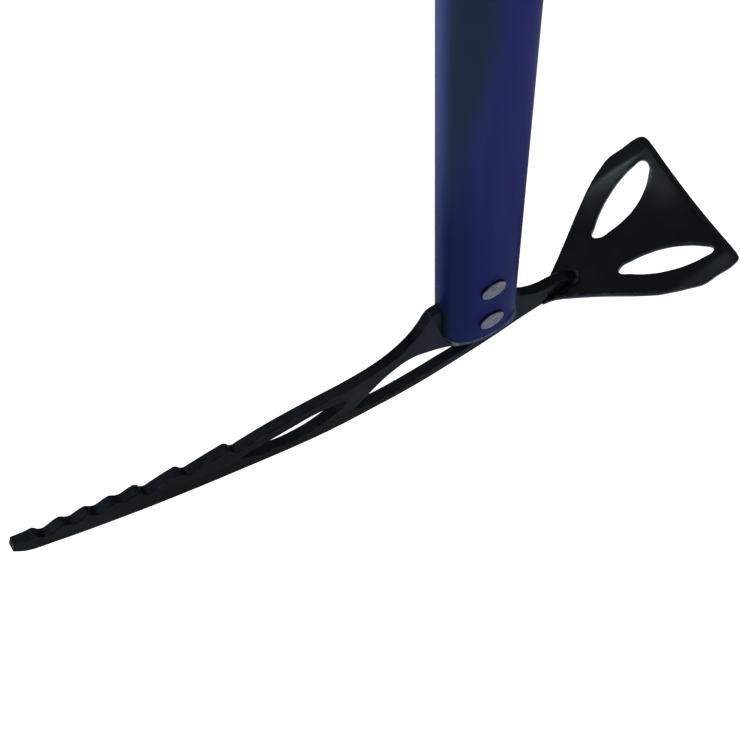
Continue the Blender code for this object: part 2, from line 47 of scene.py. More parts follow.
# Shaft
SHAFT_WIDTH = 30.4 * MM
SHAFT_DEPTH = 20.4 * MM
SHAFT_POWER = 2.3                # 2 is an ellipse, more is squarer
SHAFT_WALL = 1.6 * MM
SHAFT_HEAD_END = -35.5 * MM
SHAFT_SPIKE_END = 470.0 * MM
SHAFT_RIM = 0.5 * MM
SHAFT_SIDES = 192
SHAFT_RINGS = 48
SLOT_HALF = 2.3 * MM
PICK_SLOT_TOP = -15.3 * MM
ADZE_SLOT_TOP = -30.7 * MM

# Lip of filling under the shaft's lower rim: its thickness in millimetres, the degrees off
# the front where it swells most, the degrees the swelling reaches and the millimetres it adds
LIP_ADZE_SIDE = (0.34, 40.0, 32.0, 0.90)
LIP_PICK_SIDE = (0.30, 55.0, 24.0, 0.72)
LIP_THINNED = 0.2                # what is left of the thickness on the narrow sides
LIP_UNEVEN = (0.88, 1.12)
LIP_INSET = 0.15 * MM
LIP_DROP = 0.35 * MM
LIP_STEPS = 240

# Rivets: the crown is given as radii and drops below the top, in millimetres
HEAD_RIVETS = (0.0, -22.9 * MM)
SPIKE_RIVETS = (434.1 * MM, 457.0 * MM)
RIVET_RADIUS = 4.7 * MM
RIVET_SHANK = 2.5 * MM
RIVET_SEAT = 9.85 * MM           # flat pressed into the tube under a head
RIVET_GAP = 0.3 * MM
RIVET_TOP = 11.25 * MM
RIVET_CROWN = ((0.0, 0.0), (1.6, 0.01), (3.0, 0.04), (3.9, 0.08), (4.40, 0.13),
               (4.58, 0.20), (4.67, 0.30), (4.70, 0.44))
RIVET_CHAMFER = 0.08 * MM
RIVET_STEPS = 72

# Head plate: its lower edge is close to this parabola
PLATE_LOW_X = 30.0 * MM
PLATE_LOW_Z = 64.6 * MM
PLATE_CURVE = 2.3

# Adze
ADZE_THICKNESS = 3.0 * MM
ADZE_RISE = 0.263
ADZE_TOP_AT_AXIS = -61.7 * MM
ADZE_ROOT_X = 28.3 * MM          # runs into the tail's step, where the weld hides it
ROOT_LIFT = 1.1 * MM             # the root's underside runs up into the plate's
ROOT_LIFT_RUN = 6.0 * MM
ADZE_EDGE_X = 93.9 * MM
ADZE_CORNER_LEAD = 0.1 * MM
ADZE_SIDE = 31.1 * MM
ADZE_GROUND_WIDTH = 2.3 * MM
ADZE_GROUND_DROP = 1.4 * MM
ADZE_CREASE = ((68.0 * MM, 26.4 * MM), (93.4 * MM, 25.2 * MM))
ADZE_FLANGE_SLOPE = 0.14
ADZE_DISH_DEPTH = 4.2 * MM
ADZE_DISH_SPAN = (44.0 * MM, 86.0 * MM)
ADZE_DISH_POWER = 1.8
ADZE_GRID = 1.5 * MM
ADZE_GRID_START = 30.0 * MM
ADZE_GRID_SNAP = 0.04 * MM
ADZE_EDGE_BREAK = 0.3 * MM
ADZE_CURVE_STEPS = 10

# Leaf-shaped hole on the adze's +Y side, as X and Y in millimetres
ADZE_HOLE = (
    (56.9, 8.7), (58.6, 6.9), (63.5, 6.8), (69.0, 7.5), (75.0, 9.2), (81.0, 12.3), (86.0, 16.4),
    (88.9, 20.6), (88.0, 22.6), (84.0, 22.6), (78.0, 21.5), (72.0, 19.4), (66.0, 16.4),
    (60.0, 12.0),
)

# Weld
TAIL_END = 41.6 * MM
TAIL_HALF = 2.0 * MM
WELD_START = 31.5 * MM
WELD_RADIUS = 0.95 * MM
WELD_STAND_OFF = 0.92            # of its radius, off the tail
WELD_HEIGHT = 0.45               # of its radius, above the adze
WELD_RIPPLE_PITCH = 1.15 * MM
WELD_RIPPLE_DEPTH = 0.14
WELD_RIPPLE_POWER = 0.6
WELD_UNEVEN = (0.92, 1.07)
WELD_TIP = 0.35                  # how much of the bead is left at its very ends
WELD_STEPS_PER_RIPPLE = 8

# Gloss. The satin coats reflect little of the pale room, so their gloss is set low.
COAT_METAL = 0.25
COAT_ROUGH = 0.17
ADZE_COAT_METAL = 0.65
ADZE_COAT_ROUGH = 0.13
ADZE_COAT_PALE = 0.42
COAT_SPECULAR = 0.004
COAT_EDGE = (0.50, 0.54, 0.58, 1.0)
TUBE_SPECULAR = 0.004
TUBE_EDGE = (0.35, 0.50, 0.60, 1.0)
RIVET_METAL = 0.75
RIVET_EDGE = (0.5, 0.5, 0.5, 1.0)
WELD_METAL = 0.1
WELD_SPECULAR = 0.01
NYLON_SPECULAR = 0.03
LIP_SPECULAR = 0.02

# Colours of the black coating
COAT_DEEP = (0.0040, 0.0060, 0.0080)
COAT_EVEN = (0.0056, 0.0078, 0.0100)
COAT_CLOUDY = (0.0085, 0.0112, 0.0135)
COAT_MOTTLED = (0.0030, 0.0036, 0.0042)
COAT_DULLED = (0.0030, 0.0031, 0.0040)
COAT_PALER = (0.0130, 0.0150, 0.0175)
COAT_WORN_HIGHLIGHT = (0.030, 0.036, 0.046)
COAT_SCRATCHED = (0.030, 0.034, 0.040)
COAT_SPECKLED = (0.050, 0.054, 0.060)
HEAT_BROWN = (0.0040, 0.0032, 0.0024)
PLATE_WIDE_TUBE_REFLECTION = (0.0056, 0.0040, 0.0092)
PLATE_CLOSE_TUBE_REFLECTION = (0.0080, 0.0092, 0.0165)
PLATE_PICK_MIDDLE_SHADE = (0.0010, 0.0024, 0.0038)
PLATE_LOW_STRIP_SHADE = (0.0006, 0.0006, 0.0016)
PLATE_ARM_TOP_SHADE = (0.0016, 0.0018, 0.0022)
PLATE_HOLE_WALL_LIGHT = (0.0074, 0.0110, 0.0152)
PLATE_LIT_CREST = (0.0080, 0.0104, 0.0140)
ADZE_STRIP_REFLECTION = (0.024, 0.030, 0.033)
ADZE_LIT_NEAR_CORNER = (0.0160, 0.0200, 0.0215)
ADZE_CLOUDY = (0.010, 0.016, 0.018)
ADZE_GROUND = (0.0058, 0.0048, 0.0040)

# Colours of the anodised tube
TUBE_DEEP = (0.0162, 0.0192, 0.0990)
TUBE_BRIGHT = (0.0222, 0.0228, 0.1150)
TUBE_BROAD = (0.0235, 0.0240, 0.1180)
TUBE_SHADE_NEAR_HEAD = (0.0070, 0.0100, 0.0705)
TUBE_SIDE_REFLECTION = (0.0125, 0.0335, 0.0880)
TUBE_SHOULDER_SHADE = (0.0066, 0.0108, 0.0500)
TUBE_LOW_LEFT_SHADE = (0.0005, 0.0050, 0.0500)
TUBE_GREYER_LEFT = (0.0168, 0.0245, 0.0440)
TUBE_LEFT_HIGHLIGHT = (0.0610, 0.0930, 0.2200)
TUBE_SLOT_SHADOW = (0.0070, 0.0105, 0.0190)
TUBE_SCRATCHED = (0.05, 0.06, 0.13)
RIM_DARK = (0.05, 0.08, 0.13)
RIM_BARE = (0.24, 0.28, 0.34)

# Colours of the rivets, the weld, the plugs and the lip
RIVET_DARK = (0.070, 0.080, 0.105)
RIVET_GREY = (0.150, 0.160, 0.195)
RIVET_PITTED = (0.052, 0.056, 0.066)
RIVET_BRIGHT = (0.26, 0.27, 0.30)
RIVET_WALL_SHADE = (0.0035, 0.0042, 0.0100)
WELD_DARK = (0.0026, 0.0023, 0.0021)
WELD_BROWN = (0.0048, 0.0042, 0.0037)
WELD_HIGHLIGHT = (0.030, 0.034, 0.036)
NYLON_DARK = (0.012, 0.012, 0.013)
NYLON_EVEN = (0.020, 0.020, 0.021)
LIP_BLUE = (0.030, 0.046, 0.085)
LIP_GREY = (0.075, 0.095, 0.130)
LIP_PALE = (0.20, 0.21, 0.23)
LIP_DARK = (0.0075, 0.0095, 0.0110)

# Studio: each softbox has a place, a point to aim at, a side length and a power
FLOOR_Z = -0.42
FLOOR_RADIUS = 3.0
FLOOR_SIDES = 96
SWEEP = 1.2
SWEEP_STEP = 9.0
SWEEP_RINGS = 10
WALL_HEIGHT = 3.2
PAPER_DARK = (0.80, 0.80, 0.80)
PAPER_PALE = (0.84, 0.84, 0.84)
FLOOR_LIFT = 0.42
WORLD_STRENGTH = 0.42
SOFTBOXES = {
    "overhead_box": ((-0.70, 0.03, 2.15), (0.0, 0.0, -0.03), 0.72, 30.0),
    "front_box": ((0.55, -1.30, 0.95), (0.0, 0.0, 0.10), 0.80, 9.0),
    "left_box": ((-1.30, 0.75, 0.75), (0.0, 0.0, 0.25), 0.60, 6.0),
}

# Camera: angles in degrees, the focal length in the picture's own pixels
CAMERA_AZIMUTH = -26.5772
CAMERA_ELEVATION = 65.4876
CAMERA_ROLL = -4.5723
CAMERA_PLACE = (-0.15939, -0.23111, 0.53244)
CAMERA_NUDGE = 0.17 * MM         # to the right and up in the picture
CAMERA_FOCAL = 1769.158
CAMERA_SENSOR = 36.0
CAMERA_NEAREST = 0.01
PICTURE_WIDTH = 740.0


# ---------------------------------------------------------------- modelling helpers

def deselect():
    bpy.ops.object.select_all(action="DESELECT")


def only(obj):
    """Select this object alone and make it active."""
    deselect()
    obj.select_set(True)
    bpy.context.view_layer.objects.active = obj


def edit(obj):
    """Go into edit mode with everything on the object selected."""
    only(obj)
    bpy.ops.object.mode_set(mode="EDIT")
    bpy.ops.mesh.select_all(action="SELECT")


def leave_edit():
    bpy.ops.object.mode_set(mode="OBJECT")


def apply_modifier(obj, kind, **settings):
    only(obj)
    modifier = obj.modifiers.new(kind.title(), kind)
    for key, value in settings.items():
        setattr(modifier, key, value)
    bpy.ops.object.modifier_apply(modifier=modifier.name)


def apply_place(obj):
    """Move the object's place, turn and size into its mesh."""
    only(obj)
    bpy.ops.object.transform_apply(location=True, rotation=True, scale=True)


def clean(obj):
    """Merge doubled points and turn every face outwards."""
    edit(obj)
    bpy.ops.mesh.remove_doubles(threshold=MERGE)
    bpy.ops.mesh.normals_make_consistent(inside=False)
    leave_edit()


def finish_piece(obj, name, material, nodes, smooth=35.0):
    """Name the piece, give it its finish and put it in the place of its frame nodes."""
    obj.name = name
    obj.data.name = name
    obj.data.materials.clear()
    obj.data.materials.append(material)
    only(obj)
    bpy.ops.object.shade_smooth_by_angle(angle=math.radians(smooth))
    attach(obj, "root")
    if nodes:
        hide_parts(*nodes)


def cut_away(obj, cutter):
    apply_modifier(obj, "BOOLEAN", operation="DIFFERENCE", solver="EXACT", object=cutter)
    bpy.data.objects.remove(cutter, do_unlink=True)


def block(low, high):
    """A rectangular cutter between two corners."""
    deselect()
    size = Vector(high) - Vector(low)
    middle = (Vector(high) + Vector(low)) / 2
    bpy.ops.mesh.primitive_cube_add(size=1.0, location=middle, scale=size)
    apply_place(bpy.context.object)
    return bpy.context.object


def drill(radius, z, y_low, y_high):
    """A round cutter along Y through the shaft's middle."""
    deselect()
    bpy.ops.mesh.primitive_cylinder_add(
        vertices=64, radius=radius, depth=y_high - y_low,
        location=(0.0, (y_low + y_high) / 2, z), rotation=(math.radians(90.0), 0.0, 0.0))
    apply_place(bpy.context.object)
    return bpy.context.object


def turned(profile, steps):
    """A closed turned shape about Z, from a profile of (radius, height)."""
    deselect()
    bpy.ops.mesh.primitive_plane_add(size=MM)
    obj = bpy.context.object
    edit(obj)
    bpy.ops.mesh.merge(type="CENTER")
    radius, height = profile[0]
    bpy.ops.transform.translate(value=(radius, 0.0, height))
    for next_radius, next_height in profile[1:]:
        move = (next_radius - radius, 0.0, next_height - height)
        bpy.ops.mesh.extrude_region_move(TRANSFORM_OT_translate={"value": move})
        radius, height = next_radius, next_height
    bpy.ops.mesh.select_all(action="SELECT")
    bpy.ops.mesh.spin(steps=steps, angle=math.tau, center=(0, 0, 0), axis=(0, 0, 1))
    leave_edit()
    clean(obj)
    return obj


def dressed_copy(node):
    """A merged copy of a frame node, whose own mesh is loose triangles."""
    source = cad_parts[node]
    obj = source.copy()
    obj.data = source.data.copy()
    bpy.context.collection.objects.link(obj)
    edit(obj)
    bpy.ops.mesh.remove_doubles(threshold=MERGE)
    bpy.ops.mesh.customdata_custom_splitnormals_clear()
    leave_edit()
    return obj


def new_curve(name, thickness, roundness, count):
    """A curve of straight steps with a round section, and its points to be placed."""
    curve = bpy.data.curves.new(name, "CURVE")
    curve.dimensions = "3D"
    curve.bevel_depth = thickness
    curve.bevel_resolution = roundness
    spline = curve.splines.new("POLY")
    spline.points.add(count - 1)
    return curve, spline


def mesh_of(curve):
    """The curve made into a mesh object."""
    obj = bpy.data.objects.new(curve.name, curve)
    bpy.context.collection.objects.link(obj)
    only(obj)
    bpy.ops.object.convert(target="MESH")
    return bpy.context.object


# ---------------------------------------------------------------- shader helpers

class Signal:
    """A shader socket that takes part in Python sums and products."""

    def __init__(self, finish, socket):
        self.finish = finish
        self.socket = socket

    def math(self, operation, first, second, clamp=False):
        settings = {"operation": operation, "use_clamp": clamp}
        return self.finish.node("ShaderNodeMath", settings, {0: first, 1: second})

    def __add__(self, other):
        return self.math("ADD", self, other)

    def __sub__(self, other):
        return self.math("SUBTRACT", self, other)

    def __rsub__(self, other):
        return self.math("SUBTRACT", other, self)

    def __mul__(self, other):
        return self.math("MULTIPLY", self, other)

    def __pow__(self, other):
        return self.math("POWER", self, other)

    __radd__ = __add__
    __rmul__ = __mul__

    def clamped(self):
        return self.math("ADD", self, 0.0, clamp=True)

    def absolute(self):
        return self.math("ABSOLUTE", self, 0.0)

    def smooth(self, low, high):
        """0 below low, 1 above high, and an eased step between."""
        settings = {"interpolation_type": "SMOOTHSTEP"}
        sockets = {"Value": self, "From Min": low, "From Max": high}
        return self.finish.node("ShaderNodeMapRange", settings, sockets)

    def fall(self, low, high):
        """1 below low, 0 above high, and an eased step between."""
        return 1.0 - self.smooth(low, high)

    def band(self, start, full, fade, end):
        """1 from full to fade, 0 before start and past end."""
        return self.smooth(start, full) * self.fall(fade, end)


class Finish:
    """One material, written node by node."""

    def __init__(self, name):
        self.material = bpy.data.materials.new(name)
        self.material.use_nodes = True
        self.tree = self.material.node_tree
        self.tree.nodes.clear()
        self.place = self.node("ShaderNodeTexCoord", output="Object")
        self.x, self.y, self.z = self.split(self.place)

    def node(self, kind, settings=None, sockets=None, output=0):
        """Any node: its type, its settings, and the values or links of its sockets."""
        made = self.tree.nodes.new(kind)
        for key, value in (settings or {}).items():
            setattr(made, key, value)
        for key, value in (sockets or {}).items():
            if isinstance(value, Signal):
                self.tree.links.new(value.socket, made.inputs[key])
            else:
                made.inputs[key].default_value = value
        return Signal(self, made.outputs[output]) if made.outputs else None

    def split(self, vector):
        first = self.node("ShaderNodeSeparateXYZ", sockets={0: vector})
        return [Signal(self, output) for output in first.socket.node.outputs]

    def mapped(self, vector, **settings):
        """The vector, turned or scaled by a Mapping node."""
        return self.node("ShaderNodeMapping", {"vector_type": "POINT"},
                         {"Vector": vector, **settings})

    def noise(self, size, detail=3.0, rough=0.55, vector=None):
        """Noise whose largest features are about this size, from 0 to 1."""
        sockets = {"Vector": vector or self.place, "Scale": 1.0 / size,
                   "Detail": detail, "Roughness": rough}
        return self.node("ShaderNodeTexNoise", None, sockets)

    def mix(self, factor, first, second):
        """A colour between two colours."""
        first, second = (colour if isinstance(colour, Signal) else (*colour, 1.0)
                         for colour in (first, second))
        sockets = {0: factor, 6: first, 7: second}
        return self.node("ShaderNodeMix", {"data_type": "RGBA"}, sockets, 2)

    def bump(self, height, depth, strength):
        sockets = {"Height": height, "Distance": depth, "Strength": strength}
        return self.node("ShaderNodeBump", None, sockets)

    def facing(self):
        """The surface's own direction, split along the axes."""
        return self.split(self.node("ShaderNodeTexCoord", output="Normal"))

    def show(self, shader):
        """Put the shader on the material's surface."""
        self.node("ShaderNodeOutputMaterial", None, {"Surface": shader})
        return self.material

    def shade(self, sockets):
        return self.show(self.node("ShaderNodeBsdfPrincipled", None, sockets))


def scratches(finish, size, length, turn, keep):
    """Sparse fine lines of that width and length, turned about Y. 1 on a line."""
    turned_place = finish.mapped(finish.place, Rotation=(0.0, turn, 0.0))
    drawn = finish.mapped(turned_place, Scale=(1.0, 1.0, size / length))
    return finish.noise(size, 1.0, 0.4, drawn).smooth(keep, keep + 0.04)


# ---------------------------------------------------------------- coating of the plates

def coated_steel(name, tint=None, gloss=None, metal=COAT_METAL, base_rough=COAT_ROUGH, pale=0.0):
    """Thin black coating on steel: fine peel, dulled patches, and rubbed chamfers lightened also
    as a painted highlight.
    """
    finish = Finish(name)
    broad = finish.noise(28 * MM, 4.0)
    patch = finish.noise(6 * MM, 4.0)
    mottle = finish.noise(1.8 * MM, 4.0, 0.65)
    peel = finish.noise(0.8 * MM, 2.0)
    grain = finish.noise(0.18 * MM, 1.0)
    square = finish.facing()[1] ** 2.0
    chamfer = (square * (1.0 - square) * 4.0) ** 6.0
    # Chamfers lightened in patches: rubbed coating that also serves as a painted highlight on the
    # edges.
    worn_chamfer_highlight = (chamfer * finish.noise(3 * MM, 4.0).smooth(0.45, 0.62)).clamped()
    lines = scratches(finish, 0.22 * MM, 9 * MM, 1.1, 0.71) * patch.smooth(0.5, 0.6)
    specks = finish.noise(0.5 * MM, 0.0).smooth(0.86, 0.90)
    dull = finish.x.fall(-110 * MM, -45 * MM) * (0.55 + mottle * 0.3)

    colour = finish.mix(broad.smooth(0.35, 0.65), COAT_DEEP, COAT_EVEN)
    colour = finish.mix(patch.smooth(0.50, 0.72) * 0.45, colour, COAT_CLOUDY)
    colour = finish.mix(mottle.smooth(0.52, 0.70) * 0.5, colour, COAT_MOTTLED)
    colour = finish.mix(dull, colour, COAT_DULLED)
    if pale:
        colour = finish.mix(pale, colour, COAT_PALER)
    # The tint, where one is given, adds painted light and shade as well as heat tint.
    if tint:
        colour = tint(finish, colour)
    colour = finish.mix(worn_chamfer_highlight * 0.35, colour, COAT_WORN_HIGHLIGHT)
    colour = finish.mix(lines * 0.3, colour, COAT_SCRATCHED)
    colour = finish.mix(specks * 0.5, colour, COAT_SPECKLED)

    rough = base_rough + broad * 0.05 + mottle * 0.10 + dull * 0.2 - worn_chamfer_highlight * 0.03 - lines * 0.03
    height = peel * 0.5 + mottle * 0.5 + grain * 0.2 - lines * 0.4
    return finish.shade({
        "Base Color": colour, "Roughness": rough,
        "Metallic": gloss(finish) * metal if gloss else metal,
        "Normal": finish.bump(height, 0.03 * MM, 0.5),
        "Specular IOR Level": COAT_SPECULAR, "Specular Tint": COAT_EDGE,
    })


def burnt(finish, colour, reach):
    """Brown heat tint round the end of the tail, where it was welded."""
    past = finish.x.smooth(TAIL_END - 12 * MM, TAIL_END - 6 * MM)
    beyond = finish.x.fall(TAIL_END + 1 * MM, TAIL_END + reach)
    beside = finish.y.absolute().fall(2.2 * MM, 2.2 * MM + reach)
    blotch = finish.noise(1.5 * MM, 3.0).smooth(0.30, 0.55)
    above_adze = finish.z - finish.x * ADZE_RISE - ADZE_TOP_AT_AXIS
    low = above_adze.fall(2.5 * MM, 6 * MM)
    return finish.mix(past * beyond * beside * blotch * low * 0.9, colour, HEAT_BROWN)


def above_lower_edge(finish):
    """How far a point of the head plate is above the plate's curved lower edge."""
    along = finish.x + PLATE_LOW_X
    return finish.z - along * along * PLATE_CURVE + PLATE_LOW_Z


def shaded_low_strip(finish):
    """1 along the plate's lower edge, under the eye and the second cut-out, where painted shade
    darkens the plate.
    """
    strip = above_lower_edge(finish).fall(7.0 * MM, 10.5 * MM)
    return strip * finish.x.band(-150 * MM, -120 * MM, -34 * MM, -12 * MM)


def shaded_pick_middle(finish):
    """1 along the middle of the pick, where painted shade darkens the plate."""
    return finish.x.band(-160 * MM, -130 * MM, -66 * MM, -45 * MM)


def plate_light_shade_and_heat_tint(finish, colour):
    """Painted shade on the lower strip, the middle of the pick and the arm's top, painted light on
    upward faces on the pick and in the holes, painted reflection of the blue tube beside it, and
    heat tint.
    """
    patch = finish.noise(4 * MM, 4.0).smooth(0.30, 0.60)
    up = finish.facing()[2].smooth(0.74, 0.90)
    side = finish.facing()[1].absolute().smooth(0.6, 0.9)
    rise = above_lower_edge(finish)
    # Painted light on the upward faces in the holes.
    hole = up * rise.fall(8 * MM, 12 * MM) * finish.x.fall(-14 * MM, -4 * MM)
    # Painted light on the upward faces along the pick.
    lit_crest = up * finish.x.fall(-62 * MM, -42 * MM) - hole
    # Painted reflection of the blue tube on the plate's faces beside it.
    wide_tube_reflection = finish.x.band(-62 * MM, -44 * MM, -12 * MM, 4 * MM)
    close_tube_reflection = finish.x.band(-38 * MM, -27 * MM, -12 * MM, 4 * MM)
    # Painted shade on the arm's top faces.
    shaded_arm_top = (1.0 - side) * rise.smooth(12 * MM, 16 * MM)
    shaded_arm_top = shaded_arm_top * finish.x.band(-46 * MM, -31 * MM, -29 * MM, -22 * MM)
    layers = (
        (wide_tube_reflection * side * 0.75, PLATE_WIDE_TUBE_REFLECTION),
        (close_tube_reflection * side * 0.75, PLATE_CLOSE_TUBE_REFLECTION),
        (shaded_pick_middle(finish) * side * 0.85, PLATE_PICK_MIDDLE_SHADE),
        (shaded_low_strip(finish) * side * (0.7 + patch * 0.3), PLATE_LOW_STRIP_SHADE),
        (shaded_arm_top * 0.8, PLATE_ARM_TOP_SHADE),
        (hole.clamped() * (0.4 + patch * 0.5), PLATE_HOLE_WALL_LIGHT),
        (lit_crest.clamped() * (0.15 + patch * 0.6), PLATE_LIT_CREST),
    )
    for share, layer in layers:
        colour = finish.mix(share, colour, layer)
    return burnt(finish, colour, 2 * MM)


def plate_gloss(finish):
    """The lower strip and the middle of the pick shine less."""
    uneven = finish.noise(12 * MM, 3.0).smooth(0.3, 0.7) * 0.3 + 0.85
    return (1.0 - shaded_low_strip(finish) * 0.90) * (1.0 - shaded_pick_middle(finish) * 0.60) * uneven


def adze_painted_light_and_heat_tint(finish, colour):
    """Painted reflection on the far strip, painted light on the near corner, heat tint, and the
    browner ground bevel.
    """
    patch = finish.noise(7 * MM, 3.0).smooth(0.3, 0.7)
    # Painted reflection on the strip inside the crease on the +Y side, with less of it on the
    # flange past the crease.
    past_crease = finish.y.smooth(25.2 * MM, 26.8 * MM)
    strip = finish.y.smooth(11 * MM, 19 * MM) * (1.0 - past_crease * 0.72)
    outward = finish.x.smooth(50 * MM, 66 * MM) * 0.35 + finish.x.smooth(68 * MM, 78 * MM) * 0.60
    strip = strip * outward * (1.0 - finish.x.smooth(80 * MM, 91 * MM) * 0.9)
    strip = strip * (0.65 + patch * 0.35)
    # Painted light on the near corner.
    lit_near_corner = finish.y.fall(-27 * MM, -25 * MM) * finish.x.smooth(79 * MM, 88 * MM)
    ground = (finish.x - (ADZE_EDGE_X - ADZE_GROUND_WIDTH)).smooth(-0.2 * MM, 0.3 * MM)
    ground = ground * finish.noise(1.6 * MM).smooth(0.2, 0.7)
    colour = finish.mix(strip, colour, ADZE_STRIP_REFLECTION)
    colour = finish.mix(lit_near_corner * 0.6, colour, ADZE_LIT_NEAR_CORNER)
    colour = finish.mix(patch * 0.18, colour, ADZE_CLOUDY)
    return finish.mix(ground * 0.8, burnt(finish, colour, 4 * MM), ADZE_GROUND)


def adze_gloss(finish):
    """The near side strip and the far half of the edge shine less than the rest."""
    near = finish.y.fall(-27.0 * MM, -24.5 * MM)
    far = finish.y.smooth(2 * MM, 12 * MM) * finish.x.smooth(82 * MM, 89 * MM)
    return (1.0 - near * 0.6) * (1.0 - far * 0.3)


# ---------------------------------------------------------------- other finishes

def anodised_tube(name):
    """Dark blue anodised tube with drawn lines, painted shade near the head, the plate's shoulder
    and the slot, a painted highlight and reflection on its sides, and bare metal on its cut ends.
    """
    finish = Finish(name)
    lines = finish.noise(0.35 * MM, 2.0, 0.6, finish.mapped(finish.place, Scale=(1.0, 1.0, 0.012)))
    bands = finish.noise(6 * MM, 2.0, 0.5, finish.mapped(finish.place, Scale=(1.0, 1.0, 0.04)))
    broad = finish.noise(60 * MM, 3.0)
    patch = finish.noise(9 * MM, 4.0)
    grain = finish.noise(0.12 * MM, 1.0)
    marks = scratches(finish, 0.2 * MM, 14 * MM, 0.35, 0.72) * patch.smooth(0.5, 0.62)

    off_side = finish.y.absolute()
    left = finish.x.fall(-4 * MM, 0.0)
    # Painted reflection on the faces turned to +X.
    side = finish.facing()[0].smooth(0.45, 0.95)
    # Painted shade towards the head.
    shade_near_head = finish.z.fall(-20 * MM, 100 * MM)
    # Painted shade on the left side near the head, where the plate's shoulder darkens the tube.
    shoulder_shade = finish.x.fall(-14 * MM, -3 * MM) * finish.z.fall(35 * MM, 108 * MM)
    shoulder_shade = shoulder_shade * off_side.smooth(0.0, 3.5 * MM)
    # Painted shade down the tube's left edge by the head.
    low_left_shade = finish.x.fall(-14.9 * MM, -13.0 * MM) * finish.z.fall(40 * MM, 90 * MM)
    # A greyer band along the left side, widening up the shaft.
    widening = finish.z.smooth(75 * MM, 155 * MM) * (8.5 * MM)
    greyer_left_band = (finish.x - widening).fall(-16.5 * MM, -7.0 * MM)
    greyer_left_band = greyer_left_band * off_side.smooth(1.0 * MM, 4.5 * MM)
    greyer_left_band = greyer_left_band * finish.z.band(30 * MM, 90 * MM, 300 * MM, 420 * MM)
    # Painted highlight along the left side, stronger up the shaft.
    left_highlight = finish.y.band(-5.6 * MM, 2.4 * MM, 4.5 * MM, 8.0 * MM) * left
    left_highlight = left_highlight * (0.02 + finish.z.smooth(-5 * MM, 165 * MM) * 0.90) * (0.85 + patch * 0.3)
    # Painted shadow beside the pick's slot.
    slot_shadow = off_side.fall(3.8 * MM, 6.2 * MM) * finish.z.fall(-15 * MM, -5 * MM) * left

    colour = finish.mix(bands.smooth(0.3, 0.7), TUBE_DEEP, TUBE_BRIGHT)
    layers = (
        (broad.smooth(0.4, 0.7) * 0.5, TUBE_BROAD),
        (shade_near_head * 0.75, TUBE_SHADE_NEAR_HEAD),
        (side * 0.75, TUBE_SIDE_REFLECTION),
        (shoulder_shade * 0.80, TUBE_SHOULDER_SHADE),
        (low_left_shade * 0.70, TUBE_LOW_LEFT_SHADE),
        (greyer_left_band * (0.70 + bands * 0.3), TUBE_GREYER_LEFT),
        (left_highlight * 0.9, TUBE_LEFT_HIGHLIGHT),
        (slot_shadow * 0.9, TUBE_SLOT_SHADOW),
        (marks * 0.3, TUBE_SCRATCHED),
    )
    for share, layer in layers:
        colour = finish.mix(share, colour, layer)

    wobble = (finish.noise(2.0 * MM, 3.0) - 0.5) * (0.9 * MM)
    head_end = (finish.z - SHAFT_HEAD_END + wobble).fall(0.55 * MM, 0.90 * MM)
    spike_end = (finish.z - SHAFT_SPIKE_END + wobble).smooth(-0.90 * MM, -0.55 * MM)
    bare = (head_end + spike_end).clamped()
    metal = finish.mix(finish.noise(0.9 * MM, 3.0).smooth(0.35, 0.65), RIM_DARK, RIM_BARE)
    colour = finish.mix(bare * 0.9, colour, metal)
    rough = 0.32 + bands * 0.06 + patch * 0.10 + grain * 0.05 - marks * 0.06
    height = lines * 0.5 + grain * 0.2 - marks * 0.5
    return finish.shade({
        "Base Color": colour, "Roughness": rough, "Metallic": 0.2 + bare * 0.6,
        "Normal": finish.bump(height, 0.02 * MM, 0.5),
        "Specular IOR Level": TUBE_SPECULAR, "Specular Tint": TUBE_EDGE,
    })


def rivet_steel(name):
    """Dull pressed steel: fine dimples, grey patches and painted shade on the head's side wall."""
    finish = Finish(name)
    patch = finish.noise(2.0 * MM, 4.0)
    dimples = finish.noise(0.55 * MM, 3.0, 0.6)
    grain = finish.noise(0.12 * MM, 2.0)
    # Painted shade on the head's side wall.
    rim = finish.y.absolute().fall(RIVET_TOP - 0.36 * MM, RIVET_TOP - 0.22 * MM)
    colour = finish.mix(patch.smooth(0.35, 0.65), RIVET_DARK, RIVET_GREY)
    colour = finish.mix(dimples.smooth(0.55, 0.75) * 0.6, colour, RIVET_PITTED)
    colour = finish.mix(dimples.fall(0.28, 0.45) * 0.5, colour, RIVET_BRIGHT)
    colour = finish.mix(rim, colour, RIVET_WALL_SHADE)
    height = dimples * 0.8 + grain * 0.2
    return finish.shade({
        "Base Color": colour, "Roughness": 0.36 + patch * 0.16 + grain * 0.08,
        "Metallic": RIVET_METAL, "Normal": finish.bump(height, 0.12 * MM, 0.7),
        "Specular Tint": RIVET_EDGE,
    })


def weld_steel(name):
    """Weld under a thin coating: dark brown, with a painted highlight on the upward faces of its
    outer run.
    """
    finish = Finish(name)
    patch = finish.noise(1.4 * MM, 4.0)
    spots = finish.noise(0.4 * MM, 3.0)
    # Painted highlight on the upward faces of the bead's outer run, less on the far side.
    crown = finish.facing()[2].smooth(0.45, 0.9) * patch.smooth(0.34, 0.58)
    crown = crown * finish.x.smooth(TAIL_END - 1 * MM, TAIL_END + 1 * MM)
    crown = crown * (1.0 - finish.y.smooth(-1 * MM, 2.5 * MM) * 0.8)
    colour = finish.mix(patch.smooth(0.35, 0.65), WELD_DARK, WELD_BROWN)
    colour = finish.mix(crown * 0.7, colour, WELD_HIGHLIGHT)
    return finish.shade({
        "Base Color": colour, "Roughness": 0.34 + spots * 0.24, "Metallic": WELD_METAL,
        "Normal": finish.bump(spots, 0.1 * MM, 0.6), "Specular IOR Level": WELD_SPECULAR,
    })


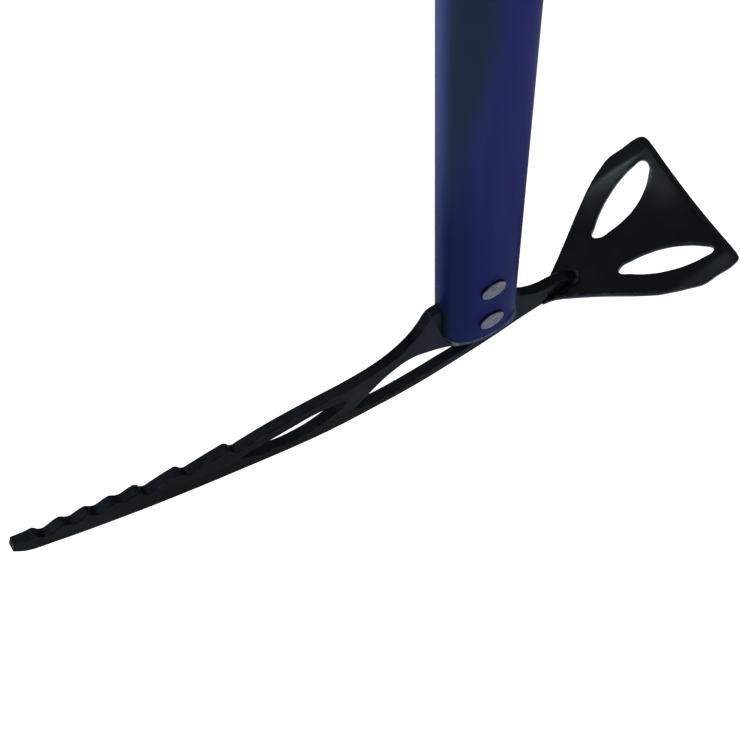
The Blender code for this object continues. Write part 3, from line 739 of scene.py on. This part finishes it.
def plug_nylon(name):
    """Moulded dark nylon with a fine spark-eroded grain."""
    finish = Finish(name)
    patch = finish.noise(8 * MM, 3.0)
    grain = finish.noise(0.3 * MM, 3.0)
    return finish.shade({
        "Base Color": finish.mix(patch, NYLON_DARK, NYLON_EVEN),
        "Roughness": 0.55 + grain * 0.15,
        "Normal": finish.bump(grain, 0.04 * MM, 0.6), "Specular IOR Level": NYLON_SPECULAR,
    })


def lip_filling(name):
    """Grey filling, smeared blue by the tube's edge and rubbed pale in places."""
    finish = Finish(name)
    patch = finish.noise(2.2 * MM, 4.0)
    spots = finish.noise(0.8 * MM, 3.0)
    colour = finish.mix(patch.smooth(0.35, 0.65), LIP_BLUE, LIP_GREY)
    colour = finish.mix(spots.smooth(0.58, 0.70), colour, LIP_PALE)
    colour = finish.mix(finish.x.fall(-14.2 * MM, -13.0 * MM), colour, LIP_DARK)
    return finish.shade({
        "Base Color": colour, "Roughness": 0.40 + spots * 0.2,
        "Normal": finish.bump(spots, 0.10 * MM, 0.6), "Specular IOR Level": LIP_SPECULAR,
    })


# ---------------------------------------------------------------- shaft

def oval_point(angle):
    """A point of the shaft's oval section in that direction parameter."""
    cosine, sine = math.cos(angle), math.sin(angle)
    x = SHAFT_WIDTH / 2 * math.copysign(abs(cosine) ** (2.0 / SHAFT_POWER), cosine)
    y = SHAFT_DEPTH / 2 * math.copysign(abs(sine) ** (2.0 / SHAFT_POWER), sine)
    return x, y


def make_shaft(material):
    """Oval tube with rounded rims, a slot for each side of the tang, and rivet seats."""
    deselect()
    bpy.ops.mesh.primitive_cylinder_add(
        vertices=SHAFT_SIDES, radius=1.0, depth=SHAFT_SPIKE_END - SHAFT_HEAD_END,
        end_fill_type="NOTHING", location=(0.0, 0.0, (SHAFT_SPIKE_END + SHAFT_HEAD_END) / 2))
    obj = bpy.context.object
    apply_place(obj)
    for vertex in obj.data.vertices:
        vertex.co.x, vertex.co.y = oval_point(math.atan2(vertex.co.y, vertex.co.x))
    clean(obj)
    apply_modifier(obj, "SOLIDIFY", thickness=SHAFT_WALL, offset=-1.0, use_even_offset=True)
    apply_modifier(obj, "BEVEL", width=SHAFT_RIM, segments=4, limit_method="ANGLE",
                   angle_limit=math.radians(60.0))
    edit(obj)
    for i in range(1, SHAFT_RINGS):
        z = SHAFT_HEAD_END + (SHAFT_SPIKE_END - SHAFT_HEAD_END) * i / SHAFT_RINGS
        bpy.ops.mesh.select_all(action="SELECT")
        bpy.ops.mesh.bisect(plane_co=(0.0, 0.0, z), plane_no=(0.0, 0.0, 1.0))
    leave_edit()
    reach = SHAFT_WIDTH
    below = SHAFT_HEAD_END - 3 * MM
    cut_away(obj, block((-reach, -SLOT_HALF, below), (0.0, SLOT_HALF, PICK_SLOT_TOP)))
    cut_away(obj, block((0.0, -SLOT_HALF, below), (reach, SLOT_HALF, ADZE_SLOT_TOP)))
    for z in (*HEAD_RIVETS, *SPIKE_RIVETS):
        cut_away(obj, drill(RIVET_RADIUS + RIVET_GAP, z, -reach, -RIVET_SEAT))
        cut_away(obj, drill(RIVET_RADIUS + RIVET_GAP, z, RIVET_SEAT, reach))
        cut_away(obj, drill(RIVET_SHANK + RIVET_GAP, z, -reach, reach))
    finish_piece(obj, "shaft", material, ["shaft_tube"])


# ---------------------------------------------------------------- rivets

def make_rivets(material):
    """Set heads, very slightly crowned, with rolled rims, on one shank."""
    seat = RIVET_SEAT + RIVET_GAP
    half = [(radius * MM, RIVET_TOP - drop * MM) for radius, drop in RIVET_CROWN]
    half += [
        (RIVET_RADIUS, seat + RIVET_CHAMFER),
        (RIVET_RADIUS - RIVET_CHAMFER, seat),
        (RIVET_SHANK + 0.1 * MM, seat),
        (RIVET_SHANK, seat - 0.1 * MM),
    ]
    first = turned(half + [(radius, -height) for radius, height in reversed(half)], RIVET_STEPS)
    first.rotation_euler = (math.radians(90.0), 0.0, 0.0)
    apply_place(first)
    names = (("head_rivet_upper", HEAD_RIVETS[0]), ("head_rivet_lower", HEAD_RIVETS[1]),
             ("spike_rivet_lower", SPIKE_RIVETS[0]), ("spike_rivet_upper", SPIKE_RIVETS[1]))
    for node, z in names:
        obj = first.copy()
        obj.data = first.data.copy()
        bpy.context.collection.objects.link(obj)
        obj.location = (0.0, 0.0, z)
        apply_place(obj)
        finish_piece(obj, node.replace("rivet", "pin"), material, [node])
    bpy.data.objects.remove(first, do_unlink=True)


# ---------------------------------------------------------------- adze

def crease_y(x):
    """How far out the crease between the adze's middle and its flange is."""
    (inner_x, inner_y), (outer_x, outer_y) = ADZE_CREASE
    return inner_y + (outer_y - inner_y) * (x - inner_x) / (outer_x - inner_x)


def adze_sink(x, y):
    """How far the dished middle and the flanges lie below the adze's flat plate."""
    start, full = ADZE_DISH_SPAN
    share = max(0.0, min(1.0, (x - start) / (full - start)))
    ease = share * share * (3.0 - 2.0 * share)
    across = min(abs(y) / crease_y(x), 1.0)
    dish = ADZE_DISH_DEPTH * ease * (1.0 - across ** ADZE_DISH_POWER)
    return dish + ADZE_FLANGE_SLOPE * max(abs(y) - crease_y(x), 0.0)


def adze_tilt(x, y):
    """How steeply the adze's top face falls across Y."""
    reach = ADZE_THICKNESS
    return (adze_sink(x, y - reach) - adze_sink(x, y + reach)) / (2.0 * reach)


def adze_outline():
    """One side of the adze from the middle of its root to the middle of its edge."""
    corner_x = ADZE_EDGE_X + ADZE_CORNER_LEAD
    side = ADZE_SIDE
    return [
        (ADZE_ROOT_X, 2.2 * MM, False),
        (33.0 * MM, 3.3 * MM, True),
        (38.6 * MM, 6.6 * MM, True),
        (47.3 * MM, 12.5 * MM, True),
        (57.4 * MM, 19.8 * MM, True),
        (67.5 * MM, 26.2 * MM, True),
        (74.0 * MM, side - 1.7 * MM, True),
        (78.5 * MM, side - 0.1 * MM, True),
        (84.0 * MM, side, True),
        (corner_x - 2.4 * MM, side, True),
        (corner_x - 0.6 * MM, side - 0.7 * MM, True),
        (corner_x, side - 2.6 * MM, True),
        (corner_x, side - 5.0 * MM, False),
        (ADZE_EDGE_X + 0.3 * ADZE_CORNER_LEAD, 0.5 * side, False),
        (ADZE_EDGE_X, 0.0, False),
    ]


def flat_sheet(loops, resolution):
    """A flat sheet inside the first loop and outside the others, as a mesh."""
    curve = bpy.data.curves.new("sheet", "CURVE")
    curve.dimensions = "2D"
    curve.fill_mode = "BOTH"
    for loop in loops:
        spline = curve.splines.new("BEZIER")
        spline.bezier_points.add(len(loop) - 1)
        spline.use_cyclic_u = True
        spline.resolution_u = resolution
        for point, (x, y, smooth) in zip(spline.bezier_points, loop):
            point.co = (x, y, 0.0)
            handle = "AUTO" if smooth else "VECTOR"
            point.handle_left_type = handle
            point.handle_right_type = handle
    return mesh_of(curve)


def make_adze(material):
    """Flat sheet with two holes, cut into a grid, given its thickness and then bent."""
    stretch = math.sqrt(1.0 + ADZE_RISE ** 2)
    half = [(x * stretch, y, smooth) for x, y, smooth in adze_outline()]
    other = [(x, -y, smooth) for x, y, smooth in half[:-1]]
    hole = [(x * MM * stretch, y * MM, True) for x, y in ADZE_HOLE]
    other_hole = [(x, -y, smooth) for x, y, smooth in reversed(hole)]
    outline = other + [half[-1]] + list(reversed(half[:-1]))
    obj = flat_sheet([outline, hole, other_hole], ADZE_CURVE_STEPS)
    ground_x = ADZE_EDGE_X * stretch - ADZE_GROUND_WIDTH
    edit(obj)
    bpy.ops.mesh.remove_doubles(threshold=MERGE)
    bpy.ops.mesh.dissolve_limited(angle_limit=math.radians(1.0))
    lines = [((ground_x, 0.0, 0.0), (1.0, 0.0, 0.0))]
    rows = int(ADZE_SIDE / ADZE_GRID)
    lines += [((0.0, i * ADZE_GRID, 0.0), (0.0, 1.0, 0.0)) for i in range(-rows, rows + 1)]
    columns = int((ground_x - ADZE_GRID_START) / ADZE_GRID)
    lines += [((ground_x - i * ADZE_GRID, 0.0, 0.0), (1.0, 0.0, 0.0)) for i in range(1, columns)]
    for spot, direction in lines:
        bpy.ops.mesh.select_all(action="SELECT")
        bpy.ops.mesh.bisect(plane_co=spot, plane_no=direction, threshold=ADZE_GRID_SNAP)
    bpy.ops.mesh.select_all(action="SELECT")
    down = (0.0, 0.0, -ADZE_THICKNESS)
    bpy.ops.mesh.extrude_region_move(TRANSFORM_OT_translate={"value": down})
    leave_edit()
    for vertex in obj.data.vertices:
        x, y = vertex.co.x / stretch, vertex.co.y
        on_top = vertex.co.z > -ADZE_THICKNESS / 2
        if on_top:
            past = max(vertex.co.x - ground_x, 0.0)
            vertex.co.z -= ADZE_GROUND_DROP * min(past / ADZE_GROUND_WIDTH, 1.0)
        else:
            vertex.co.y += adze_tilt(x, y) * ADZE_THICKNESS
            vertex.co.z += ROOT_LIFT * max(1.0 - (x - ADZE_ROOT_X) / ROOT_LIFT_RUN, 0.0)
        vertex.co.z -= adze_sink(x, y)
    obj.location = (0.0, 0.0, ADZE_TOP_AT_AXIS)
    obj.rotation_euler = (0.0, -math.atan(ADZE_RISE), 0.0)
    apply_place(obj)
    clean(obj)
    apply_modifier(obj, "BEVEL", width=ADZE_EDGE_BREAK, segments=2, limit_method="ANGLE",
                   angle_limit=math.radians(55.0), use_clamp_overlap=True)
    finish_piece(obj, "adze_blade", material, ["adze"], 26.0)


# ---------------------------------------------------------------- weld

def make_weld(material):
    """A rippled bead along both sides of the tail and round its end."""
    rng = random.Random(7)
    stand_off = TAIL_HALF + WELD_RADIUS * WELD_STAND_OFF
    straight = TAIL_END - WELD_START
    arc = math.pi * stand_off
    total = 2.0 * straight + arc
    ripples = round(total / WELD_RIPPLE_PITCH)
    count = ripples * WELD_STEPS_PER_RIPPLE
    sizes = [rng.uniform(*WELD_UNEVEN) for _ in range(ripples + 1)]
    curve, spline = new_curve("weld", WELD_RADIUS, 5, count + 1)
    curve.use_fill_caps = True
    slant = math.sqrt(1.0 + ADZE_RISE ** 2)
    for i, point in enumerate(spline.points):
        run = total * i / count
        if run < straight:
            x, y = WELD_START + run, -stand_off
        elif run > straight + arc:
            x, y = TAIL_END - (run - straight - arc), stand_off
        else:
            turn = (run - straight) / stand_off
            x, y = TAIL_END + stand_off * math.sin(turn), -stand_off * math.cos(turn)
        ripple, step = divmod(i, WELD_STEPS_PER_RIPPLE)
        swell = math.sin(math.pi * step / WELD_STEPS_PER_RIPPLE) ** WELD_RIPPLE_POWER
        size = sizes[ripple] * (1.0 - WELD_RIPPLE_DEPTH + WELD_RIPPLE_DEPTH * swell)
        ends = max(min(run, total - run) / WELD_RADIUS, 0.0)
        size *= WELD_TIP + (1.0 - WELD_TIP) * math.sqrt(min(ends, 1.0))
        height = ADZE_TOP_AT_AXIS + ADZE_RISE * x + WELD_RADIUS * WELD_HEIGHT * slant
        point.co = (x, y, height, 1.0)
        point.radius = size
    obj = mesh_of(curve)
    clean(obj)
    finish_piece(obj, "weld_bead", material, ["tail_weld"], 60.0)


# ---------------------------------------------------------------- lip under the rim

def lip_radius(turn):
    """The lip's thickness at that direction of the oval, wide at the corners."""
    off_front = abs(abs(math.degrees(turn)) - 90.0)
    adze_side = abs(turn) < math.pi / 2
    low, peak, reach, swell = LIP_ADZE_SIDE if adze_side else LIP_PICK_SIDE
    share = max(0.0, 1.0 - abs(off_front - peak) / reach)
    if off_front > peak:
        low *= LIP_THINNED + (1.0 - LIP_THINNED) * share
    return (low + swell * share * share * (3.0 - 2.0 * share)) * MM


def make_lip(material):
    """The soft lip where the tube's filling is pressed out under the rim."""
    rng = random.Random(3)
    curve, spline = new_curve("lip", 1.0, 4, LIP_STEPS)
    spline.use_cyclic_u = True
    swell = 1.0
    for i, point in enumerate(spline.points):
        turn = math.tau * i / LIP_STEPS
        turn = turn if turn <= math.pi else turn - math.tau
        x, y = oval_point(turn)
        inside = 1.0 - LIP_INSET / math.hypot(x, y)
        swell += 0.5 * (rng.uniform(*LIP_UNEVEN) - swell)
        point.co = (x * inside, y * inside, SHAFT_HEAD_END - LIP_DROP, 1.0)
        point.radius = lip_radius(turn) * swell
    obj = mesh_of(curve)
    clean(obj)
    finish_piece(obj, "filling_lip", material, [], 180.0)


# ---------------------------------------------------------------- plates and plugs

def make_plate(node, name, material):
    """A frame node's own shape with a finish on it."""
    finish_piece(dressed_copy(node), name, material, [node], 30.0)


# ---------------------------------------------------------------- studio

def make_floor():
    """A pale floor that sweeps up into a wall far behind."""
    deselect()
    bpy.ops.mesh.primitive_circle_add(vertices=FLOOR_SIDES, radius=FLOOR_RADIUS,
                                      fill_type="NGON", location=(0.0, 0.0, FLOOR_Z))
    floor = bpy.context.object
    edit(floor)
    bpy.ops.mesh.inset(thickness=0.1, depth=0.0)
    radius, height = FLOOR_RADIUS, 0.0
    rings = [(FLOOR_RADIUS + SWEEP * math.sin(turn), SWEEP * (1.0 - math.cos(turn)))
             for turn in (math.radians(SWEEP_STEP * i) for i in range(1, SWEEP_RINGS + 1))]
    rings.append((FLOOR_RADIUS + SWEEP, WALL_HEIGHT))
    for next_radius, next_height in rings:
        bpy.ops.mesh.select_all(action="DESELECT")
        bpy.ops.mesh.select_non_manifold()
        rise, grow = next_height - height, next_radius / radius
        bpy.ops.mesh.extrude_region_move(TRANSFORM_OT_translate={"value": (0.0, 0.0, rise)})
        bpy.ops.transform.resize(value=(grow, grow, 1.0), center_override=(0.0, 0.0, 0.0))
        radius, height = next_radius, next_height
    leave_edit()
    apply_place(floor)
    floor.name = "floor"
    bpy.ops.object.shade_smooth()
    floor.data.materials.append(pale_floor("pale_floor"))


def pale_floor(name):
    """Matt white paper, which the camera and reflections see at full white."""
    finish = Finish(name)
    grain = finish.mix(finish.noise(4 * MM, 2.0), PAPER_DARK, PAPER_PALE)
    paper = finish.node("ShaderNodeBsdfDiffuse", None, {"Color": grain})
    seen, mirrored, through = (
        finish.node("ShaderNodeLightPath", output=ray)
        for ray in ("Is Camera Ray", "Is Glossy Ray", "Is Transmission Ray"))
    strength = (seen + mirrored + through).clamped() * FLOOR_LIFT
    lift = finish.node("ShaderNodeEmission", None, {"Strength": strength})
    both = finish.node("ShaderNodeAddShader", None, {0: paper, 1: lift})
    clear = finish.node("ShaderNodeBsdfTransparent")
    behind = finish.node("ShaderNodeNewGeometry", output="Backfacing")
    return finish.show(finish.node("ShaderNodeMixShader", None, {0: behind, 1: both, 2: clear}))


def make_world():
    """Even white light from all round."""
    world = bpy.data.worlds.new("soft_room")
    bpy.context.scene.world = world
    world.use_nodes = True
    background = world.node_tree.nodes["Background"]
    background.inputs["Color"].default_value = (1.0, 1.0, 1.0, 1.0)
    background.inputs["Strength"].default_value = WORLD_STRENGTH


def softbox(name, place, aim, side, power):
    """A square light at a place, aimed at a point, that the camera doesn't see."""
    light = bpy.data.lights.new(name, "AREA")
    light.shape = "SQUARE"
    light.size = side
    light.energy = power
    obj = bpy.data.objects.new(name, light)
    bpy.context.collection.objects.link(obj)
    obj.location = place
    obj.rotation_euler = (Vector(aim) - Vector(place)).to_track_quat("-Z", "Y").to_euler()
    obj.visible_camera = False


def make_camera():
    """The photograph's view, worked out from the shaft, the rivets and the head plate."""
    azimuth, elevation, roll = (
        math.radians(angle) for angle in (CAMERA_AZIMUTH, CAMERA_ELEVATION, CAMERA_ROLL))
    back = Vector((math.sin(azimuth) * math.cos(elevation),
                   -math.cos(azimuth) * math.cos(elevation), math.sin(elevation)))
    level = (-back).cross(Vector((0.0, 0.0, 1.0))).normalized()
    upright = level.cross(-back)
    right = math.cos(roll) * level + math.sin(roll) * upright
    up = math.cos(roll) * upright - math.sin(roll) * level
    data = bpy.data.cameras.new("photo_view")
    data.sensor_width = CAMERA_SENSOR
    data.lens = CAMERA_SENSOR * CAMERA_FOCAL / PICTURE_WIDTH
    data.clip_start = CAMERA_NEAREST
    camera = bpy.data.objects.new("photo_view", data)
    bpy.context.collection.objects.link(camera)
    turn = Matrix((right, up, back)).transposed().to_4x4()
    place = Vector(CAMERA_PLACE) + CAMERA_NUDGE * (right + up)
    camera.matrix_world = Matrix.Translation(place) @ turn
    bpy.context.scene.camera = camera


# ---------------------------------------------------------------- assembly

make_camera()

plate_coating = coated_steel("black_coating_head", plate_light_shade_and_heat_tint, plate_gloss)
make_plate("head_plate", "pick_plate", plate_coating)
make_plate("spike", "spike_blade", coated_steel("black_coating_spike"))
make_adze(coated_steel("black_coating_adze", adze_painted_light_and_heat_tint, adze_gloss, ADZE_COAT_METAL,
                       ADZE_COAT_ROUGH, ADZE_COAT_PALE))
make_weld(weld_steel("weld_metal"))
make_shaft(anodised_tube("blue_anodising"))
make_rivets(rivet_steel("set_rivet_steel"))
nylon = plug_nylon("plug_nylon_grain")
make_lip(lip_filling("pressed_out_filling"))
for node in ("head_plug_front", "head_plug_back", "spike_plug_front", "spike_plug_back"):
    make_plate(node, node.replace("plug", "filler"), nylon)

make_floor()
make_world()
for name, (place, aim, side, power) in SOFTBOXES.items():
    softbox(name, place, aim, side, power)

bpy.context.scene.view_settings.view_transform = "Standard"
